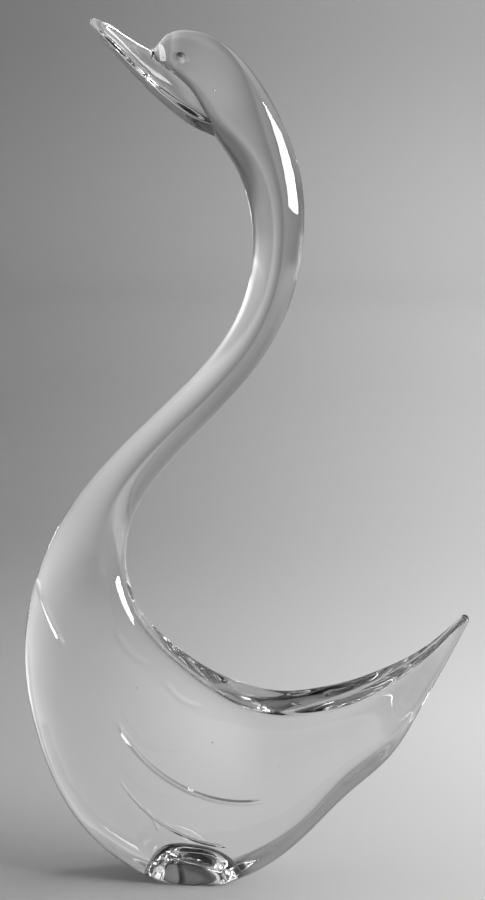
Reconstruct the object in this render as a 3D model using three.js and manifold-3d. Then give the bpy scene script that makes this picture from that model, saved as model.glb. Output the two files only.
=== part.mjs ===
// A swan of solid clear crystal, worked hot from one gather and ground flat under the foot.
// Body, neck, head and bill are one piece of glass, so the swan is one solid.
// Millimetres, +Z up. The origin is the middle of the foot, where it meets the table.
// The bill points along -X, the tail along +X, and the swan is the same on both sides of Y = 0.

import * as THREE from 'three';
import { mergeVertices } from 'three/addons/utils/BufferGeometryUtils.js';
import Module from 'manifold-3d';

// Driving dimensions
const height = 350;          // table to the top of the bill
const bodyDepth = 58;        // widest across the body, side to side
const neckDepth = 18;        // across the neck where it is slimmest
const eyeAcross = 4.6;       // a round tool mark on each side of the head
const eyeDepth = 0.55;       // how deep the tool went
const ringSpacing = 8;       // between the rings of facets along the swan
const sidesPerSpan = 2;      // facets for each span of a section's curve

// Forms of section. Each is half a closed curve's control polygon, from the back (or the top of the
// bill) round one side to the breast (or the underside), as shares of the half height and half depth.
const roundForm = Array.from({ length: 11 }, (_, k) => {
  const angle = k * Math.PI / 10;
  return [Math.cos(angle), Math.sin(angle)];
});
const boatForm = [
  [0.96, 0], [0.96, 0.5], [1, 0.95], [0.84, 1.05], [0.4, 1.03], [-0.1, 1],
  [-0.62, 0.99], [-0.9, 0.95], [-1, 0.84], [-1.03, 0.44], [-1.03, 0],
];
const billForm = [
  [1.02, 0], [1, 0.28], [0.9, 0.5], [0.6, 0.66], [0.2, 0.8], [-0.2, 0.92],
  [-0.54, 1.03], [-0.63, 0.98], [-0.88, 0.6], [-1.01, 0.3], [-1.03, 0],
];

// Ribs of the swan, from the tail's tip to the brow. Each rib gives its back and its breast end in the
// middle plane as x and z, in thousandths of the height, then its half depth as a share of the body's
// (or of the neck's, for the neck and head), and how boat-shaped it is, from 0, round, to 1.
const bodyRibs = [
  { back: [309, 306], breast: [318, 302], depth: 0.14, boat: 0.3 },
  { back: [281, 277], breast: [296, 263], depth: 0.29, boat: 0.9 },
  { back: [259, 259], breast: [280, 236], depth: 0.41, boat: 1 },
  { back: [226, 239], breast: [256.5, 196], depth: 0.61, boat: 1 },
  { back: [185, 220], breast: [225, 150], depth: 0.81, boat: 1 },
  { back: [142, 209], breast: [173.5, 104], depth: 0.9, boat: 1 },
  { back: [100, 205], breast: [118.5, 48.5], depth: 0.94, boat: 1 },
  { back: [65, 211], breast: [62, 9], depth: 0.95, boat: 1 },
  { back: [37, 222], breast: [0, -8], depth: 0.88, boat: 1 },
  { back: [11, 237], breast: [-62, 6], depth: 0.77, boat: 1 },
  { back: [-15, 256], breast: [-120, 46], depth: 0.68, boat: 1 },
  { back: [-39, 277], breast: [-164, 108.5], depth: 0.63, boat: 0.92 },
  { back: [-58, 300], breast: [-190, 181], depth: 0.61, boat: 0.78 },
  { back: [-71, 325], breast: [-201, 255], depth: 0.605, boat: 0.62 },
  { back: [-79, 353], breast: [-195, 324], depth: 0.6, boat: 0.48 },
];
const neckRibs = [
  { back: [-82, 379], breast: [-175, 387], depth: 1.9, boat: 0.3 },
  { back: [-73, 425], breast: [-139, 447], depth: 1.6, boat: 0.1 },
  { back: [-7, 515], breast: [-58, 536], depth: 1.17, boat: 0 },
  { back: [38, 562], breast: [-3, 590], depth: 1, boat: 0 },
  { back: [96, 643], breast: [47, 659], depth: 1, boat: 0 },
  { back: [123, 741], breast: [66, 741], depth: 1.13, boat: 0 },
  { back: [116, 839], breast: [49, 824], depth: 1.29, boat: 0.1 },
  { back: [76, 925], breast: [20, 870], depth: 1.34, boat: 0.6 },
  { back: [17, 981], breast: [-3, 915], depth: 1.26, boat: 0.9 },
  { back: [-12, 987], breast: [-17, 930], depth: 1.22, boat: 0.9 },
  { back: [-35, 980], breast: [-33, 942], depth: 1.1, boat: 0.8 },
  { back: [-46, 967], breast: [-45, 951], depth: 0.8, boat: 0.4 },
];

// Ribs of the bill, from its tip to where it is buried in the head, in the same units. Top and
// underside stand for back and breast, and the half depth is a share of the neck's.
const billRibs = [
  { back: [-112, 999], breast: [-118, 991], depth: 0.34, boat: 0.2 },
  { back: [-99, 994], breast: [-111, 980], depth: 0.46, boat: 0.8 },
  { back: [-83, 984], breast: [-96, 963], depth: 0.58, boat: 1 },
  { back: [-66, 973], breast: [-78, 943], depth: 0.7, boat: 1 },
  { back: [-50, 964], breast: [-57, 921], depth: 0.84, boat: 1 },
  { back: [-36, 955], breast: [-34, 900], depth: 0.98, boat: 1 },
  { back: [-19, 942], breast: [-6, 879], depth: 1.08, boat: 1 },
  { back: [12, 925], breast: [26, 864], depth: 1, boat: 0.7 },
];

const eyePlace = [-16.4, 955.4];   // x and z of the eye, in thousandths of the height
const eyeBallRadius = ((eyeAcross / 2) ** 2 + eyeDepth ** 2) / (2 * eyeDepth);

// Natural cubic spline through the values at rising knots, as a function of the place between them.
function spline(knots, values) {
  const n = knots.length - 1;
  const bend = new Array(n + 1).fill(0);
  const carry = new Array(n + 1).fill(0);
  for (let i = 1; i < n; i++) {
    const before = knots[i] - knots[i - 1];
    const after = knots[i + 1] - knots[i];
    const share = before / (before + after);
    const pivot = share * bend[i - 1] + 2;
    const turn = (values[i + 1] - values[i]) / after - (values[i] - values[i - 1]) / before;
    bend[i] = (share - 1) / pivot;
    carry[i] = (6 * turn / (before + after) - share * carry[i - 1]) / pivot;
  }
  for (let i = n - 1; i > 0; i--) bend[i] = bend[i] * bend[i + 1] + carry[i];
  bend[0] = 0;
  return (place) => {
    let i = 0;
    while (i < n - 1 && place > knots[i + 1]) i++;
    const width = knots[i + 1] - knots[i];
    const a = (knots[i + 1] - place) / width;
    const b = 1 - a;
    return a * values[i] + b * values[i + 1]
      + ((a ** 3 - a) * bend[i] + (b ** 3 - b) * bend[i + 1]) * width ** 2 / 6;
  };
}

// Closed smooth section for a mix of the round form and another, as points (toward the back, across),
// scaled so that it just fills a square from -1 to 1.
function section(form, share) {
  const half = roundForm.map(([up, out], k) => [
    up + (form[k][0] - up) * share,
    out + (form[k][1] - out) * share,
  ]);
  const mirrored = half.slice(1, -1).reverse().map(([up, out]) => [up, -out]);
  const polygon = [...half, ...mirrored];
  const points = [];
  for (let k = 0; k < polygon.length; k++) {
    const near = [-1, 0, 1, 2].map((step) => polygon[(k + step + polygon.length) % polygon.length]);
    for (let side = 0; side < sidesPerSpan; side++) {
      const t = side / sidesPerSpan;
      const weights = [
        (1 - t) ** 3,
        3 * t ** 3 - 6 * t ** 2 + 4,
        -3 * t ** 3 + 3 * t ** 2 + 3 * t + 1,
        t ** 3,
      ];
      points.push([0, 1].map((axis) => weights.reduce((sum, w, j) => sum + w * near[j][axis] / 6, 0)));
    }
  }
  const ups = points.map(([up]) => up);
  const middle = (Math.max(...ups) + Math.min(...ups)) / 2;
  const reach = (Math.max(...ups) - Math.min(...ups)) / 2;
  const wide = Math.max(...points.map(([, out]) => out));
  return points.map(([up, out]) => [(up - middle) / reach, out / wide]);
}

// The ribs with their sizes in millimetres, each with its place along the swan.
function measured(ribs, depthUnit) {
  return ribs.map(({ back, breast, depth, boat }) => ({
    back: back.map((share) => share * height / 1000),
    breast: breast.map((share) => share * height / 1000),
    depth: depth * depthUnit / 2,
    boat,
  }));
}

// The smooth course of the ribs: the back line, the breast line, the half depth and the form.
function course(ribs) {
  const places = [0];
  for (let i = 1; i < ribs.length; i++) {
    const step = Math.hypot(
      ribs[i].back[0] + ribs[i].breast[0] - ribs[i - 1].back[0] - ribs[i - 1].breast[0],
      ribs[i].back[1] + ribs[i].breast[1] - ribs[i - 1].back[1] - ribs[i - 1].breast[1],
    ) / 2;
    places.push(places[i - 1] + step);
  }
  const along = (pick) => spline(places, ribs.map(pick));
  return {
    length: places.at(-1),
    backX: along((rib) => rib.back[0]),
    backZ: along((rib) => rib.back[1]),
    breastX: along((rib) => rib.breast[0]),
    breastZ: along((rib) => rib.breast[1]),
    depth: along((rib) => rib.depth),
    boat: along((rib) => Math.asin(Math.sqrt(rib.boat))),
  };
}

// One ring of points of a lofted form, moved outward along the course and shrunk for a rounded end.
function ring(lines, form, place, outward = 0, shrink = 1) {
  const back = new THREE.Vector2(lines.backX(place), lines.backZ(place));
  const breast = new THREE.Vector2(lines.breastX(place), lines.breastZ(place));
  const middle = back.clone().add(breast).multiplyScalar(0.5);
  const reach = back.clone().sub(breast).multiplyScalar(0.5 * shrink);
  const onward = new THREE.Vector2(-reach.y, reach.x).normalize().multiplyScalar(outward);
  return section(form, Math.sin(lines.boat(place)) ** 2).map(([up, out]) => new THREE.Vector3(
    middle.x + onward.x + reach.x * up,
    out * lines.depth(place) * shrink,
    middle.y + onward.y + reach.y * up,
  ));
}

// A solid lofted through the ribs, with both ends rounded over half their own thickness.
function loft(wasm, ribs, form, steps) {
  const lines = course(ribs);
  const endSteps = 3;
  const rings = [];
  const cap = (place, sign) => {
    const first = ribs[place === 0 ? 0 : ribs.length - 1];
    const bulge = Math.hypot(first.back[0] - first.breast[0], first.back[1] - first.breast[1]) / 2;
    return Array.from({ length: endSteps }, (_, k) => {
      const angle = (k + 1) / (endSteps + 1) * Math.PI / 2;
      return ring(lines, form, place, sign * bulge * Math.sin(angle), Math.cos(angle));
    });
  };
  const onwardSign = turnSign(ring(lines, form, 0), ring(lines, form, lines.length / steps));
  rings.push(...cap(0, -onwardSign).reverse());
  for (let i = 0; i <= steps; i++) rings.push(ring(lines, form, lines.length * i / steps));
  rings.push(...cap(lines.length, onwardSign));
  return solidOf(wasm, skin(rings));
}

// The middle of a ring of points.
function middleOf(points) {
  return points.reduce((sum, p) => sum.add(p), new THREE.Vector3()).divideScalar(points.length);
}

// 1 where the course runs the way that a ring's own onward direction points, otherwise -1.
function turnSign(firstRing, nextRing) {
  const step = middleOf(nextRing).sub(middleOf(firstRing));
  const up = firstRing[0].clone().sub(middleOf(firstRing));
  return Math.sign(step.x * -up.z + step.z * up.x) || 1;
}

// Triangles over the rings, closed at each end by a fan round the ring's middle.
function skin(rings) {
  const count = rings[0].length;
  const poleMiddles = [middleOf(rings[0]), middleOf(rings.at(-1))];
  const positions = [...rings.flat(), ...poleMiddles].flatMap((p) => p.toArray());
  const triangles = [];
  for (let r = 0; r + 1 < rings.length; r++) {
    for (let s = 0; s < count; s++) {
      const a = r * count + s;
      const b = r * count + (s + 1) % count;
      triangles.push(a, b, a + count, b, b + count, a + count);
    }
  }
  const lastRing = (rings.length - 1) * count;
  const poles = rings.length * count;
  for (let s = 0; s < count; s++) {
    triangles.push(poles, (s + 1) % count, s);
    triangles.push(poles + 1, lastRing + s, lastRing + (s + 1) % count);
  }
  const geometry = new THREE.BufferGeometry();
  geometry.setAttribute('position', new THREE.Float32BufferAttribute(positions, 3));
  geometry.setIndex(triangles);
  return geometry;
}

// A manifold solid of a closed geometry, turned right side out if its faces point inward.
function solidOf(wasm, geometry) {
  const bare = geometry.clone();
  bare.deleteAttribute('normal');
  bare.deleteAttribute('uv');
  const merged = mergeVertices(bare, 1e-5);
  const corners = merged.getIndex().array;
  const at = (i) => new THREE.Vector3().fromBufferAttribute(merged.attributes.position, corners[i]);
  let volume = 0;
  for (let i = 0; i < corners.length; i += 3) volume += at(i).dot(at(i + 1).cross(at(i + 2)));
  const triVerts = new Uint32Array(corners);
  for (let i = 0; volume < 0 && i < triVerts.length; i += 3) {
    [triVerts[i], triVerts[i + 1]] = [triVerts[i + 1], triVerts[i]];
  }
  const vertProperties = new Float32Array(merged.attributes.position.array);
  return new wasm.Manifold(new wasm.Mesh({ numProp: 3, vertProperties, triVerts }));
}

function geometryOf(solid) {
  const { vertProperties, triVerts } = solid.getMesh();
  const geometry = new THREE.BufferGeometry();
  geometry.setAttribute('position', new THREE.BufferAttribute(new Float32Array(vertProperties), 3));
  geometry.setIndex(new THREE.BufferAttribute(new Uint32Array(triVerts), 1));
  geometry.computeVertexNormals();
  return geometry;
}

const wasm = await Module();
wasm.setup();

// Body, neck and head are one sweep. The bill is a second gather, fused into the head.
const swanRibs = [...measured(bodyRibs, bodyDepth), ...measured(neckRibs, neckDepth)];
const swanLines = course(swanRibs);
let swan = loft(wasm, swanRibs, boatForm, Math.round(swanLines.length / ringSpacing));
const fusedBill = measured(billRibs, neckDepth);
swan = swan.add(loft(wasm, fusedBill, billForm, fusedBill.length * 2));

// The foot is ground flat at the table.
const grinder = new THREE.BoxGeometry(height, height, height).translate(0, 0, -height / 2);
swan = swan.subtract(solidOf(wasm, grinder));

// The eyes are two round marks pressed into the sides of the head.
const [eyeX, eyeZ] = eyePlace.map((share) => share * height / 1000);
const cheek = swan.getMesh();
let cheekY = 0;
for (let i = 0; i < cheek.vertProperties.length; i += cheek.numProp) {
  const [x, y, z] = cheek.vertProperties.slice(i, i + 3);
  if (Math.hypot(x - eyeX, z - eyeZ) < eyeAcross) cheekY = Math.max(cheekY, y);
}
for (const side of [-1, 1]) {
  const tool = new THREE.IcosahedronGeometry(eyeBallRadius, 3)
    .translate(eyeX, side * (cheekY + eyeBallRadius - eyeDepth), eyeZ);
  swan = swan.subtract(solidOf(wasm, tool));
}

const crystal = new THREE.MeshStandardMaterial({
  color: 0xf2f6f6,
  roughness: 0.02,
  metalness: 0,
  transparent: true,
  opacity: 0.35,
});
const swanMesh = new THREE.Mesh(geometryOf(swan), crystal);
swanMesh.name = 'crystal_swan';

const model = new THREE.Group();
model.add(swanMesh);

export default model;
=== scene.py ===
import math

import bmesh
import bpy
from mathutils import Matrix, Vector


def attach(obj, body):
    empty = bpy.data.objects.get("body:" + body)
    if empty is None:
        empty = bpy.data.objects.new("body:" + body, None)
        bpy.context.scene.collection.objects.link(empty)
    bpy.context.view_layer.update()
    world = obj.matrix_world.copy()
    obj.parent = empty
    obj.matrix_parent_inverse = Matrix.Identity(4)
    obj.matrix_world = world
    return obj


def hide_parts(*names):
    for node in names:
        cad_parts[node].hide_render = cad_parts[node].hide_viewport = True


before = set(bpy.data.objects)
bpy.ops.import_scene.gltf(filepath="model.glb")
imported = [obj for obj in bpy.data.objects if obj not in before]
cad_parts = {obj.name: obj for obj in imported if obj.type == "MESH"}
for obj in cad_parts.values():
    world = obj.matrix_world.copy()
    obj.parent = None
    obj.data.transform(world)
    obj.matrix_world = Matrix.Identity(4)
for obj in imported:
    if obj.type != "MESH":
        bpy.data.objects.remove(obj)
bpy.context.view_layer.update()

MM = 0.001

# The photograph's frame in pixels, and the camera that fits it, in millimetres and degrees.
FRAME_WIDE = 485
FRAME_HIGH = 900
CAMERA_X = 18.81
CAMERA_AWAY = 1300
CAMERA_UP = 360
CAMERA_DIP = 8.047
LENS = 129.4
SENSOR = 36

# The swan in millimetres, as in the part's source: bill toward -X, tail toward +X, Y = 0 its mirror plane.
# Each rib takes its own share of the body's or the neck's depth.
HEIGHT = 350
BODY_DEPTH = 58
NECK_DEPTH = 18
EYE_PLACE = (-16.4, 955.4)  # in thousandths of the height
EYE_ACROSS = 4.6
EYE_DEPTH = 0.55
PINCH_PLACE = (-20.6, 324.8)
PINCH_ACROSS = 3.8
PINCH_DEPTH = 0.9

# The hollow in the foot: half its length, width and height, how far its middle lies under the table, how
# square its long section is (2 is an ellipse), and how much its crown slants down toward the tail.
HOLLOW = (20, 18, 18)
HOLLOW_DOWN = 4
HOLLOW_SQUARE = 2.6
HOLLOW_SLANT = 0.12

# Mesh of the lofts: millimetres between rings, facets in each of a section's 20 spans, rings in an end.
SWAN_RING_SPACING = 2.5
BILL_RING_SPACING = 1.2
FACETS_PER_SPAN = 8
END_RINGS = 5
SMOOTH_ANGLE = 35

# Half of each section from back to breast: up, then out to the side.
HALF_POINTS = 11
ROUND_FORM = [(math.cos(k * math.pi / 10), math.sin(k * math.pi / 10)) for k in range(HALF_POINTS)]
BOAT_FORM = [(0.96, 0), (0.96, 0.5), (1, 0.95), (0.84, 1.05), (0.4, 1.03), (-0.1, 1),
             (-0.62, 0.99), (-0.9, 0.95), (-1, 0.84), (-1.03, 0.44), (-1.03, 0)]
BILL_FORM = [(1.02, 0), (1, 0.28), (0.9, 0.5), (0.6, 0.66), (0.2, 0.8), (-0.2, 0.92),
             (-0.54, 1.03), (-0.63, 0.98), (-0.88, 0.6), (-1.01, 0.3), (-1.03, 0)]

# back x, back z, breast x, breast z in thousandths of the height, depth share, boat share
BODY_RIBS = [
    (309, 306, 318, 302, 0.14, 0.3),
    (281, 277, 296, 263, 0.29, 0.9),
    (259, 259, 280, 236, 0.41, 1),
    (226, 239, 256.5, 196, 0.61, 1),
    (185, 220, 225, 150, 0.81, 1),
    (142, 209, 173.5, 104, 0.9, 1),
    (100, 205, 118.5, 48.5, 0.94, 1),
    (65, 211, 62, 9, 0.95, 1),
    (37, 222, 0, -8, 0.88, 1),
    (11, 237, -62, 6, 0.77, 1),
    (-15, 256, -120, 46, 0.68, 1),
    (-39, 277, -164, 108.5, 0.63, 0.92),
    (-58, 300, -190, 181, 0.61, 0.78),
    (-71, 325, -201, 255, 0.605, 0.62),
    (-79, 353, -195, 324, 0.60, 0.48),
]
NECK_RIBS = [
    (-82, 379, -175, 387, 1.90, 0.3),
    (-73, 425, -139, 447, 1.60, 0.1),
    (-7, 515, -58, 536, 1.17, 0),
    (38, 562, -3, 590, 1, 0),
    (96, 643, 47, 659, 1, 0),
    (123, 741, 66, 741, 1.13, 0),
    (116, 839, 49, 824, 1.29, 0.1),
    (76, 925, 20, 870, 1.34, 0.6),
    (17, 981, -3, 915, 1.26, 0.9),
    (-12, 987, -17, 930, 1.22, 0.9),
    (-35, 980, -33, 942, 1.10, 0.8),
    (-46, 967, -45, 951, 0.8, 0.4),
]
BILL_RIBS = [
    (-112, 999, -118, 991, 0.34, 0.2),
    (-99, 994, -111, 980, 0.46, 0.8),
    (-83, 984, -96, 963, 0.58, 1),
    (-66, 973, -78, 943, 0.70, 1),
    (-50, 964, -57, 921, 0.84, 1),
    (-36, 955, -34, 900, 0.98, 1),
    (-19, 942, -6, 879, 1.08, 1),
    (12, 925, 26, 864, 1.0, 0.7),
]

# Tool lines on the side that the photograph shows, each read as a few of its pixels, then how far the
# surface stands from the mirror plane there, how far the line runs on past its pixels at each end, and the
# groove's width and depth.
TOOL_LINES = {
    "smile": ([(112, 722), (131, 745), (147, 765), (160, 778), (200, 799), (240, 802), (270, 800)],
              26, 0, 3.0, 1.25),
    "breast loop": ([(115, 780), (118, 781), (143, 811), (171, 833), (235, 847)], 26, 0, 1.6, 0.50),
    "branch of the loop": ([(143, 811), (150, 818), (155, 826), (158, 835)], 26, 0, 2.0, 0.30),
    "neck base": ([(140, 618), (150, 632), (160, 643), (175, 657), (187, 667)], 18, 0.8, 1.2, 0.30),
    "neck base, lower": ([(187, 667), (195, 674), (204, 681)], 24, 0.9, 4.0, 1.60),
    "breast strip": ([(38, 590), (48, 615), (60, 640)], 18, 3.5, 3.4, 1.20),
    "upper smudge": ([(114, 627), (125, 645), (138, 660), (150, 665)], 18, 0, 4.0, 0.20),
    "lower smudge": ([(165, 683), (175, 695), (190, 706), (205, 707)], 24, 0, 3.6, 0.20),
}

# Middle x, y and z and the diameter of each seed, in millimetres.
SEEDS = [(7.8, 0, 321.5, 0.9), (39.1, -2, 258.7, 0.8), (106.1, 0, 102.3, 0.9), (-52.5, -4, 104, 0.5),
         (-24, 6, 78, 0.5), (8, -9, 58, 0.6), (33, 5, 47, 0.4), (-4, -12, 92, 0.4), (21, 10, 30, 0.5)]


# Form of the swan

def spline(knots, values):
    """Natural cubic spline through the values at the knots, as a function of the place between them."""
    n = len(knots) - 1
    bend = [0.0] * (n + 1)
    carry = [0.0] * (n + 1)
    for i in range(1, n):
        before = knots[i] - knots[i - 1]
        after = knots[i + 1] - knots[i]
        share = before / (before + after)
        pivot = share * bend[i - 1] + 2
        turn = (values[i + 1] - values[i]) / after - (values[i] - values[i - 1]) / before
        bend[i] = (share - 1) / pivot
        carry[i] = (6 * turn / (before + after) - share * carry[i - 1]) / pivot
    for i in range(n - 1, 0, -1):
        bend[i] = bend[i] * bend[i + 1] + carry[i]
    bend[0] = 0.0

    def at(place):
        i = 0
        while i < n - 1 and place > knots[i + 1]:
            i += 1
        width = knots[i + 1] - knots[i]
        a = (knots[i + 1] - place) / width
        b = 1 - a
        return (a * values[i] + b * values[i + 1]
                + ((a ** 3 - a) * bend[i] + (b ** 3 - b) * bend[i + 1]) * width ** 2 / 6)
    return at


def section(form, share, per_span):
    """Closed smooth section for a mix of the round form and another, filling a square from -1 to 1."""
    half = [(r[0] + (f[0] - r[0]) * share, r[1] + (f[1] - r[1]) * share) for r, f in zip(ROUND_FORM, form)]
    polygon = half + [(up, -out) for up, out in reversed(half[1:-1])]
    n = len(polygon)
    points = []
    for k in range(n):
        near = [polygon[(k + step) % n] for step in (-1, 0, 1, 2)]
        for side in range(per_span):
            t = side / per_span
            w = ((1 - t) ** 3, 3 * t ** 3 - 6 * t ** 2 + 4, -3 * t ** 3 + 3 * t ** 2 + 3 * t + 1, t ** 3)
            points.append(tuple(sum(a * p[axis] for a, p in zip(w, near)) / 6 for axis in (0, 1)))
    top = max(p[0] for p in points)
    low = min(p[0] for p in points)
    wide = max(p[1] for p in points)
    return [((up - (top + low) / 2) / ((top - low) / 2), out / wide) for up, out in points]


def measured(ribs, depth_unit):
    """Ribs in millimetres: back x and z, breast x and z, half depth, and the boat share as it is."""
    return [tuple(v * HEIGHT / 1000 for v in rib[:4]) + (rib[4] * depth_unit / 2, rib[5]) for rib in ribs]


def course(ribs):
    """Length of the line through the ribs' middles, and splines along it of their measures and share."""
    places = [0.0]
    for a, b in zip(ribs, ribs[1:]):
        places.append(places[-1] + math.hypot(b[0] + b[2] - a[0] - a[2], b[1] + b[3] - a[1] - a[3]) / 2)
    lines = [spline(places, [rib[k] for rib in ribs]) for k in range(5)]
    boat = spline(places, [math.asin(math.sqrt(rib[5])) for rib in ribs])
    return places[-1], lines, boat


def ring_points(lines, boat, form, place, per_span, outward=0.0, shrink=1.0):
    """Points of one ring at a place along the course, moved outward and shrunk where it closes an end."""
    bx, bz, fx, fz, depth = (line(place) for line in lines)
    middle = Vector(((bx + fx) / 2, 0, (bz + fz) / 2))
    reach = Vector(((bx - fx) / 2, 0, (bz - fz) / 2)) * shrink
    onward = Vector((-reach.z, 0, reach.x)).normalized() * outward
    share = math.sin(boat(place)) ** 2
    return [middle + onward + reach * up + Vector((0, out * depth * shrink, 0))
            for up, out in section(form, share, per_span)]


def loft(name, ribs, form, spacing):
    """Closed object through the ribs, with a rounded end at both."""
    length, lines, boat = course(ribs)
    steps = round(length / spacing)
    first = sum(ring_points(lines, boat, form, 0, 1), Vector())
    second = sum(ring_points(lines, boat, form, length / steps, 1), Vector())
    up = Vector((lines[0](0) - lines[2](0), 0, lines[1](0) - lines[3](0)))
    sign = 1 if (second - first).dot(Vector((-up.z, 0, up.x))) > 0 else -1

    def end(rib, place, way):
        bulge = math.hypot(rib[0] - rib[2], rib[1] - rib[3]) / 2
        turns = [k / (END_RINGS + 1) * math.pi / 2 for k in range(1, END_RINGS + 1)]
        return [ring_points(lines, boat, form, place, FACETS_PER_SPAN,
                            way * bulge * math.sin(turn), math.cos(turn)) for turn in turns]

    rings = end(ribs[0], 0.0, -sign)[::-1]
    rings += [ring_points(lines, boat, form, length * i / steps, FACETS_PER_SPAN) for i in range(steps + 1)]
    rings += end(ribs[-1], length, sign)
    count = len(rings[0])
    bm = bmesh.new()
    made = [[bm.verts.new(p * MM) for p in ring] for ring in rings]
    for a, b in zip(made, made[1:]):
        for s in range(count):
            t = (s + 1) % count
            bm.faces.new((a[s], a[t], b[t], b[s]))
    for ring in (made[0], made[-1]):
        pole = bm.verts.new(sum((v.co for v in ring), Vector()) / count)
        for s in range(count):
            bm.faces.new((pole, ring[s], ring[(s + 1) % count]))
    bmesh.ops.recalc_face_normals(bm, faces=bm.faces)
    mesh = bpy.data.meshes.new(name)
    bm.to_mesh(mesh)
    bm.free()
    obj = bpy.data.objects.new(name, mesh)
    bpy.context.collection.objects.link(obj)
    return obj


def boolean(obj, other, operation):
    """Joins the other object to the first or cuts it away, and removes it."""
    modifier = obj.modifiers.new("join", "BOOLEAN")
    modifier.operation = operation
    modifier.solver = "EXACT"
    modifier.object = other
    bpy.context.view_layer.objects.active = obj
    bpy.ops.object.modifier_apply(modifier="join")
    bpy.data.objects.remove(other)


def grind_foot(swan):
    """Cuts the foot flat at the table, then a domed hollow with a flattened, slanted crown into it."""
    bpy.ops.mesh.primitive_cube_add(size=HEIGHT * MM, location=(0, 0, -HEIGHT * MM / 2))
    boolean(swan, bpy.context.object, "DIFFERENCE")
    bpy.ops.mesh.primitive_uv_sphere_add(segments=96, ring_count=64, radius=1)
    hollow = bpy.context.object
    for v in hollow.data.vertices:
        reach = (abs(v.co.x) ** HOLLOW_SQUARE + abs(v.co.z) ** HOLLOW_SQUARE) ** (1 / HOLLOW_SQUARE)
        squarer = math.hypot(v.co.x, v.co.z) / reach if reach else 1
        x, y, z = v.co.x * squarer * HOLLOW[0], v.co.y * HOLLOW[1], v.co.z * squarer * HOLLOW[2]
        v.co = (x * MM, y * MM, (z * (1 - HOLLOW_SLANT * x / HOLLOW[0]) - HOLLOW_DOWN) * MM)
    boolean(swan, hollow, "DIFFERENCE")


def press(swan, x, z, across, depth):
    """Presses a round mark into both sides of the swan, at a place in its mirror plane."""
    ball = (across ** 2 / 4 + depth ** 2) / (2 * depth)
    side_y = max(v.co.y / MM for v in swan.data.vertices
                 if math.hypot(v.co.x / MM - x, v.co.z / MM - z) < across / 2)
    for side in (-1, 1):
        bpy.ops.mesh.primitive_uv_sphere_add(
            segments=48, ring_count=96, radius=ball * MM,
            location=(x * MM, side * (side_y + ball - depth) * MM, z * MM), rotation=(math.pi / 2, 0, 0))
        boolean(swan, bpy.context.object, "DIFFERENCE")


def make_swan():
    """The swan: body and neck in one loft, the bill fused on, the foot ground, the eyes and bill pressed."""
    ribs = measured(BODY_RIBS, BODY_DEPTH) + measured(NECK_RIBS, NECK_DEPTH)
    swan = loft("swan_crystal", ribs, BOAT_FORM, SWAN_RING_SPACING)
    boolean(swan, loft("bill", measured(BILL_RIBS, NECK_DEPTH), BILL_FORM, BILL_RING_SPACING), "UNION")
    grind_foot(swan)
    eye_x, eye_z = (v * HEIGHT / 1000 for v in EYE_PLACE)
    press(swan, eye_x, eye_z, EYE_ACROSS, EYE_DEPTH)
    press(swan, *PINCH_PLACE, PINCH_ACROSS, PINCH_DEPTH)
    bpy.ops.object.select_all(action="DESELECT")
    swan.select_set(True)
    bpy.context.view_layer.objects.active = swan
    bpy.ops.object.shade_smooth_by_angle(angle=math.radians(SMOOTH_ANGLE))
    return swan


def make_seeds():
    """Small air bubbles shut in the crystal. Each is a wall of it, so its faces point into the air."""
    bpy.ops.object.select_all(action="DESELECT")
    seeds = []
    for x, y, z, across in SEEDS:
        bpy.ops.mesh.primitive_uv_sphere_add(
            segments=24, ring_count=16, radius=across / 2 * MM, location=(x * MM, y * MM, z * MM))
        seeds.append(bpy.context.object)
    bpy.ops.object.select_all(action="DESELECT")
    for seed in seeds:
        seed.select_set(True)
    bpy.context.view_layer.objects.active = seeds[0]
    bpy.ops.object.join()
    bubbles = bpy.context.object
    bubbles.name = "seed_bubbles"
    bpy.ops.object.transform_apply(location=True, rotation=True, scale=True)
    bpy.ops.object.mode_set(mode="EDIT")
    bpy.ops.mesh.select_all(action="SELECT")
    bpy.ops.mesh.flip_normals()
    bpy.ops.object.mode_set(mode="OBJECT")
    bpy.ops.object.shade_smooth()
    return bubbles


# Material nodes

def linear(code):
    """sRGB hex to the linear colour that the shader takes."""
    parts = [int(code[i:i + 2], 16) / 255 for i in (1, 3, 5)]
    return tuple(c / 12.92 if c <= 0.04045 else ((c + 0.055) / 1.055) ** 2.4 for c in parts) + (1.0,)


def node(tree, kind, settings=None, links=None):
    """Adds a node; settings go to its own properties or its sockets, links join sockets to other nodes."""
    made = tree.nodes.new(kind)
    for key, value in (settings or {}).items():
        if isinstance(key, str) and hasattr(made, key):
            setattr(made, key, value)
        else:
            made.inputs[key].default_value = value
    for key, source in (links or {}).items():
        tree.links.new(source, made.inputs[key])
    return made


def maths(tree, operation, first, second=None):
    """A math node's output; each input is a number or another node's output."""
    made = node(tree, "ShaderNodeMath", {"operation": operation})
    for socket, value in zip(made.inputs, (first, second)):
        if isinstance(value, (int, float)):
            socket.default_value = value
        elif value is not None:
            tree.links.new(value, socket)
    return made.outputs["Value"]


def ramp(tree, value, low, high):
    """0 up to low, 1 from high, eased between."""
    made = node(tree, "ShaderNodeMapRange", {
        "interpolation_type": "SMOOTHSTEP", "From Min": low, "From Max": high}, {"Value": value})
    return made.outputs["Result"]


def new_material(name):
    """An empty node material."""
    material = bpy.data.materials.new(name)
    material.use_nodes = True
    material.node_tree.nodes.clear()
    return material


# Crystal

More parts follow.
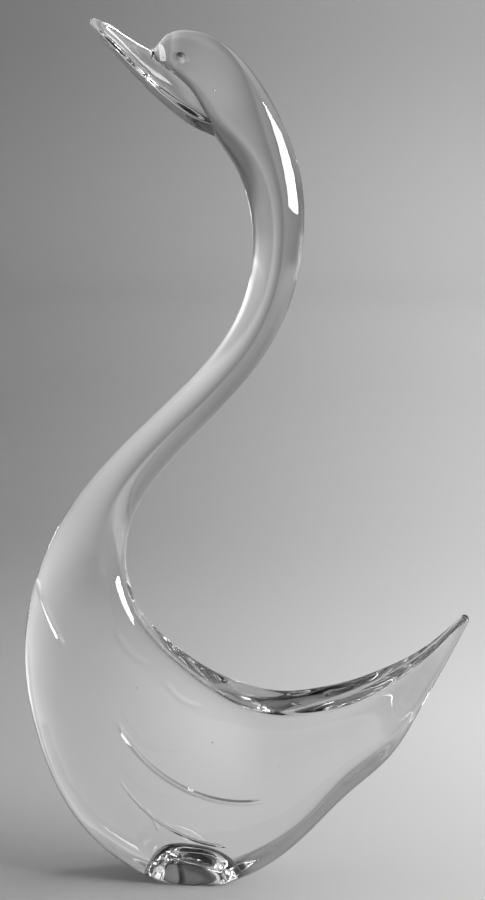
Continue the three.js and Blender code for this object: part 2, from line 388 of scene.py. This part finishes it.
def on_side(pixel, out):
    """Place x, z in millimetres of a pixel on a plane that stands so far out on the camera's side."""
    focal = LENS / SENSOR * FRAME_HIGH
    dip = math.radians(CAMERA_DIP)
    right = (pixel[0] - FRAME_WIDE / 2) / focal
    down = (pixel[1] - FRAME_HIGH / 2) / focal
    away = (CAMERA_AWAY - out) / (math.cos(dip) - down * math.sin(dip))
    return CAMERA_X + away * right, CAMERA_UP - away * (math.sin(dip) + down * math.cos(dip))


def arc_near(points):
    """Middle x and z, radius, first and last angle of the arc that lies nearest to the points."""
    n = len(points)
    mean_x = sum(x for x, z in points) / n
    mean_z = sum(z for x, z in points) / n
    near = [(x - mean_x, z - mean_z) for x, z in points]
    xx = sum(x * x for x, z in near)
    zz = sum(z * z for x, z in near)
    xz = sum(x * z for x, z in near)
    x_pull = sum(x * (x * x + z * z) for x, z in near) / 2
    z_pull = sum(z * (x * x + z * z) for x, z in near) / 2
    spread = xx * zz - xz * xz
    x_off = (x_pull * zz - z_pull * xz) / spread
    z_off = (z_pull * xx - x_pull * xz) / spread
    radius = math.sqrt(x_off ** 2 + z_off ** 2 + (xx + zz) / n)
    first, last = (math.atan2(z - z_off, x - x_off) for x, z in (near[0], near[-1]))
    return mean_x + x_off, mean_z + z_off, radius, first, last


def tool_line(tree, axes, pixels, out, run_on, width, depth):
    """Height in millimetres of one groove at a place given by its x, y and z in millimetres."""
    middle_x, middle_z, radius, first, last = arc_near([on_side(pixel, out) for pixel in pixels])
    x = maths(tree, "SUBTRACT", axes[0], middle_x)
    z = maths(tree, "SUBTRACT", axes[2], middle_z)
    square = maths(tree, "ADD", maths(tree, "MULTIPLY", x, x), maths(tree, "MULTIPLY", z, z))
    reach = maths(tree, "SQRT", square)
    off = maths(tree, "ABSOLUTE", maths(tree, "SUBTRACT", reach, radius))
    along = (first + last) / 2
    half = abs(last - first) / 2 + run_on / radius
    facing = maths(tree, "ADD", maths(tree, "MULTIPLY", x, math.cos(along)),
                   maths(tree, "MULTIPLY", z, math.sin(along)))
    within = ramp(tree, maths(tree, "DIVIDE", facing, reach), math.cos(half), math.cos(half * 0.6))
    here = ramp(tree, maths(tree, "MULTIPLY", axes[1], -1), 2, 4)
    groove = maths(tree, "SUBTRACT", 1.0, ramp(tree, off, 0.0, width / 2))
    height = maths(tree, "MULTIPLY", maths(tree, "MULTIPLY", groove, within), here)
    return maths(tree, "MULTIPLY", height, -depth)


def make_crystal():
    """Clear lead crystal, drawn out hot and fire-polished. The eye sees the paper bent through it, a faint
    waviness about 22 mm long and 0.25 mm high where the tools pressed, and the fine lines that they left."""
    crystal = new_material("lead_crystal")
    tree = crystal.node_tree
    place = node(tree, "ShaderNodeTexCoord")
    in_mm = node(tree, "ShaderNodeVectorMath", {"operation": "SCALE", "Scale": 1000.0},
                 {0: place.outputs["Object"]})
    split = node(tree, "ShaderNodeSeparateXYZ", None, {0: in_mm.outputs["Vector"]})
    axes = [split.outputs[axis] for axis in "XYZ"]
    waves = node(tree, "ShaderNodeTexNoise", {"Scale": 0.045, "Detail": 1.0, "Roughness": 0.4},
                 {"Vector": in_mm.outputs["Vector"]})
    relief = maths(tree, "MULTIPLY", waves.outputs["Fac"], 0.25)
    for line in TOOL_LINES.values():
        relief = maths(tree, "ADD", relief, tool_line(tree, axes, *line))
    bump = node(tree, "ShaderNodeBump", {"Strength": 1.0, "Distance": MM}, {"Height": relief})
    shader = node(tree, "ShaderNodeBsdfPrincipled", {
        "Base Color": linear("#FDFDFD"),
        "Roughness": 0.0,
        "IOR": 1.54,
        "Transmission Weight": 1.0,
    }, {"Normal": bump.outputs["Normal"]})
    out = node(tree, "ShaderNodeOutputMaterial")
    tree.links.new(shader.outputs["BSDF"], out.inputs["Surface"])
    return crystal


swan = make_swan()
crystal = make_crystal()
swan.data.materials.clear()
swan.data.materials.append(crystal)
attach(swan, "root")
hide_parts("crystal_swan")

bubbles = make_seeds()
bubbles.data.materials.clear()
bubbles.data.materials.append(crystal)
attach(bubbles, "root")


# Sweep of paper, in metres: a flat round floor that bends up into a wall all round.
FLOOR_REACH = 2.6
BEND = 1.0
WALL_TOP = 4.5
SWEEP_SEGMENTS = 240
BEND_RINGS = 24
WALL_RINGS = 8


def smooth(low, high, value):
    """0 up to low, 1 from high, eased between."""
    t = min(1.0, max(0.0, (value - low) / (high - low)))
    return t * t * (3 - 2 * t)


def painted_paper_light_and_shade(x, y, z):
    """Painted light and shade on the paper at a place in metres, from 0, black, to 1, white."""
    distance = math.hypot(x, y)
    angle = math.degrees(math.atan2(x, y))
    sideways = (x - CAMERA_X * MM) / (max(y, -0.6) + CAMERA_AWAY * MM)
    # Painted shade graded from dark on the left to light on the right across the camera's view, painted
    # light far out on the floor, and painted shade up the wall.
    left = 0.45 - 0.125 * smooth(0.3, 0.9, y)
    right = 0.53 + 0.18 * smooth(-0.06, 0.35, y)
    shade = left + (right - left) * smooth(-0.12, 0.12, sideways)
    shade *= 1 + 0.22 * smooth(1.5, 2.65, distance)
    shade *= 1 - 0.26 * smooth(0, 0.35, z)
    # Painted light just past the left edge of the camera's view, where the curved sides of the neck and body
    # see it.
    past_left = smooth(0.078, 0.115, -sideways) * smooth(0.4, 0.9, distance)
    shade += (0.34 - 0.14 * smooth(1.6, 2.6, distance)) * past_left
    # Painted shade just past the right edge of the view, and painted light again farther round to that side.
    past_right = smooth(0.078, 0.13, sideways) * smooth(0.2, 0.5, distance)
    shade *= 1 - (0.30 - 0.60 * smooth(35, 55, angle)) * past_right
    # Painted shade, nearly black, far to the left, and behind the camera.
    shade *= 1 - 0.8 * smooth(62, 85, -angle) * smooth(0.8, 1.6, distance)
    shade *= 1 - 0.93 * smooth(95, 110, abs(angle)) * smooth(2.2, 2.6, distance)
    # Painted shade high on the wall, most of all straight behind the swan and least to its left.
    dark = 0.96 - 0.45 * smooth(-4, 12, angle) - 0.90 * smooth(5, 12, -angle)
    return shade * (1 - dark * smooth(0.4, 1.0, z))


def make_paper():
    """Matt studio paper, its colour the painted light and shade kept at the sweep's corners. Its grain is
    too fine to be seen.
    """
    paper = new_material("sweep_paper_painted_light_and_shade")
    tree = paper.node_tree
    shade = node(tree, "ShaderNodeAttribute", {"attribute_name": "shade"})
    shader = node(tree, "ShaderNodeBsdfPrincipled", {"Roughness": 0.9, "Specular IOR Level": 0.1})
    tree.links.new(shade.outputs["Color"], shader.inputs["Base Color"])
    out = node(tree, "ShaderNodeOutputMaterial")
    tree.links.new(shader.outputs["BSDF"], out.inputs["Surface"])
    return paper


def make_sweep():
    """The sweep, turned from its profile, with the painted light and shade kept at each corner of the mesh.
    """
    profile = [(0.05 * k, 0.0) for k in range(20)] + [(1.0 + 0.1 * k, 0.0) for k in range(16)]
    for k in range(BEND_RINGS + 1):
        turn = math.pi / 2 * k / BEND_RINGS
        profile.append((FLOOR_REACH + BEND * math.sin(turn), BEND * (1 - math.cos(turn))))
    for k in range(1, WALL_RINGS + 1):
        profile.append((FLOOR_REACH + BEND, BEND + (WALL_TOP - BEND) * k / WALL_RINGS))
    turns = [2 * math.pi * s / SWEEP_SEGMENTS for s in range(SWEEP_SEGMENTS)]
    bm = bmesh.new()
    grid = []
    for r, z in profile:
        around_it = turns if r else turns[:1]
        grid.append([bm.verts.new((r * math.sin(turn), r * math.cos(turn), z)) for turn in around_it])
    for a, b in zip(grid, grid[1:]):
        for s in range(SWEEP_SEGMENTS):
            t = (s + 1) % SWEEP_SEGMENTS
            bm.faces.new((a[0], b[t], b[s]) if len(a) == 1 else (a[t], b[t], b[s], a[s]))
    mesh = bpy.data.meshes.new("sweep")
    bm.to_mesh(mesh)
    bm.free()
    # The paper's colour at each corner is painted light and shade.
    painted_light_and_shade_colours = mesh.color_attributes.new("shade", "FLOAT_COLOR", "POINT")
    for vertex, entry in zip(mesh.vertices, painted_light_and_shade_colours.data):
        entry.color = (painted_paper_light_and_shade(*vertex.co),) * 3 + (1,)
    for face in mesh.polygons:
        face.use_smooth = True
    sweep = bpy.data.objects.new("sweep", mesh)
    bpy.context.collection.objects.link(sweep)
    return sweep


sweep = make_sweep()
sweep.data.materials.append(make_paper())


# Light and camera

def area_light(name, place, aim, size, power):
    """A rectangular lamp at a place, turned toward its aim."""
    data = bpy.data.lights.new(name, "AREA")
    data.shape = "RECTANGLE"
    data.size, data.size_y = size
    data.energy = power
    lamp = bpy.data.objects.new(name, data)
    lamp.location = place
    lamp.rotation_euler = (Vector(aim) - Vector(place)).to_track_quat("-Z", "Y").to_euler()
    bpy.context.collection.objects.link(lamp)
    return lamp


def around(azimuth, distance, height):
    """Place at an angle to the right of the camera's own direction from the swan."""
    a = math.radians(azimuth)
    return (distance * math.sin(a), -distance * math.cos(a), height)


area_light("key_softbox", around(74, 0.95, 0.39), (0, 0, 0.30), (0.85, 0.38), 19)
for name, place, aim, size, power in (
        ("backdrop_lamp_side", (1.6, 1.2, 1.2), (0.0, 2.2, 0.0), (1.2, 1.0), 22),
        ("backdrop_lamp_top", (1.2, 1.8, 2.0), (0.2, 2.6, 0.0), (1.6, 1.6), 11)):
    lamp = area_light(name, place, aim, size, power)
    lamp.visible_camera = lamp.visible_transmission = lamp.visible_glossy = False

# The studio's own air light fills the shadows, and isn't seen in the crystal.
world = bpy.data.worlds.new("studio_air")
world.use_nodes = True
world.node_tree.nodes["Background"].inputs["Color"].default_value = (0.5, 0.5, 0.5, 1)
world.node_tree.nodes["Background"].inputs["Strength"].default_value = 0.9
world.cycles_visibility.transmission = False
world.cycles_visibility.glossy = False

camera_data = bpy.data.cameras.new("camera")
camera_data.lens = LENS
camera_data.sensor_width = SENSOR
camera_data.clip_end = 50
camera = bpy.data.objects.new("camera", camera_data)
camera.location = (CAMERA_X * MM, -CAMERA_AWAY * MM, CAMERA_UP * MM)
camera.rotation_euler = (math.radians(90 - CAMERA_DIP), 0, 0)
bpy.context.collection.objects.link(camera)

scene = bpy.context.scene
scene.world = world
scene.camera = camera
scene.cycles.max_bounces = 32
scene.cycles.transmission_bounces = 32
scene.cycles.glossy_bounces = 16
scene.cycles.caustics_refractive = True
scene.view_settings.view_transform = "Standard"
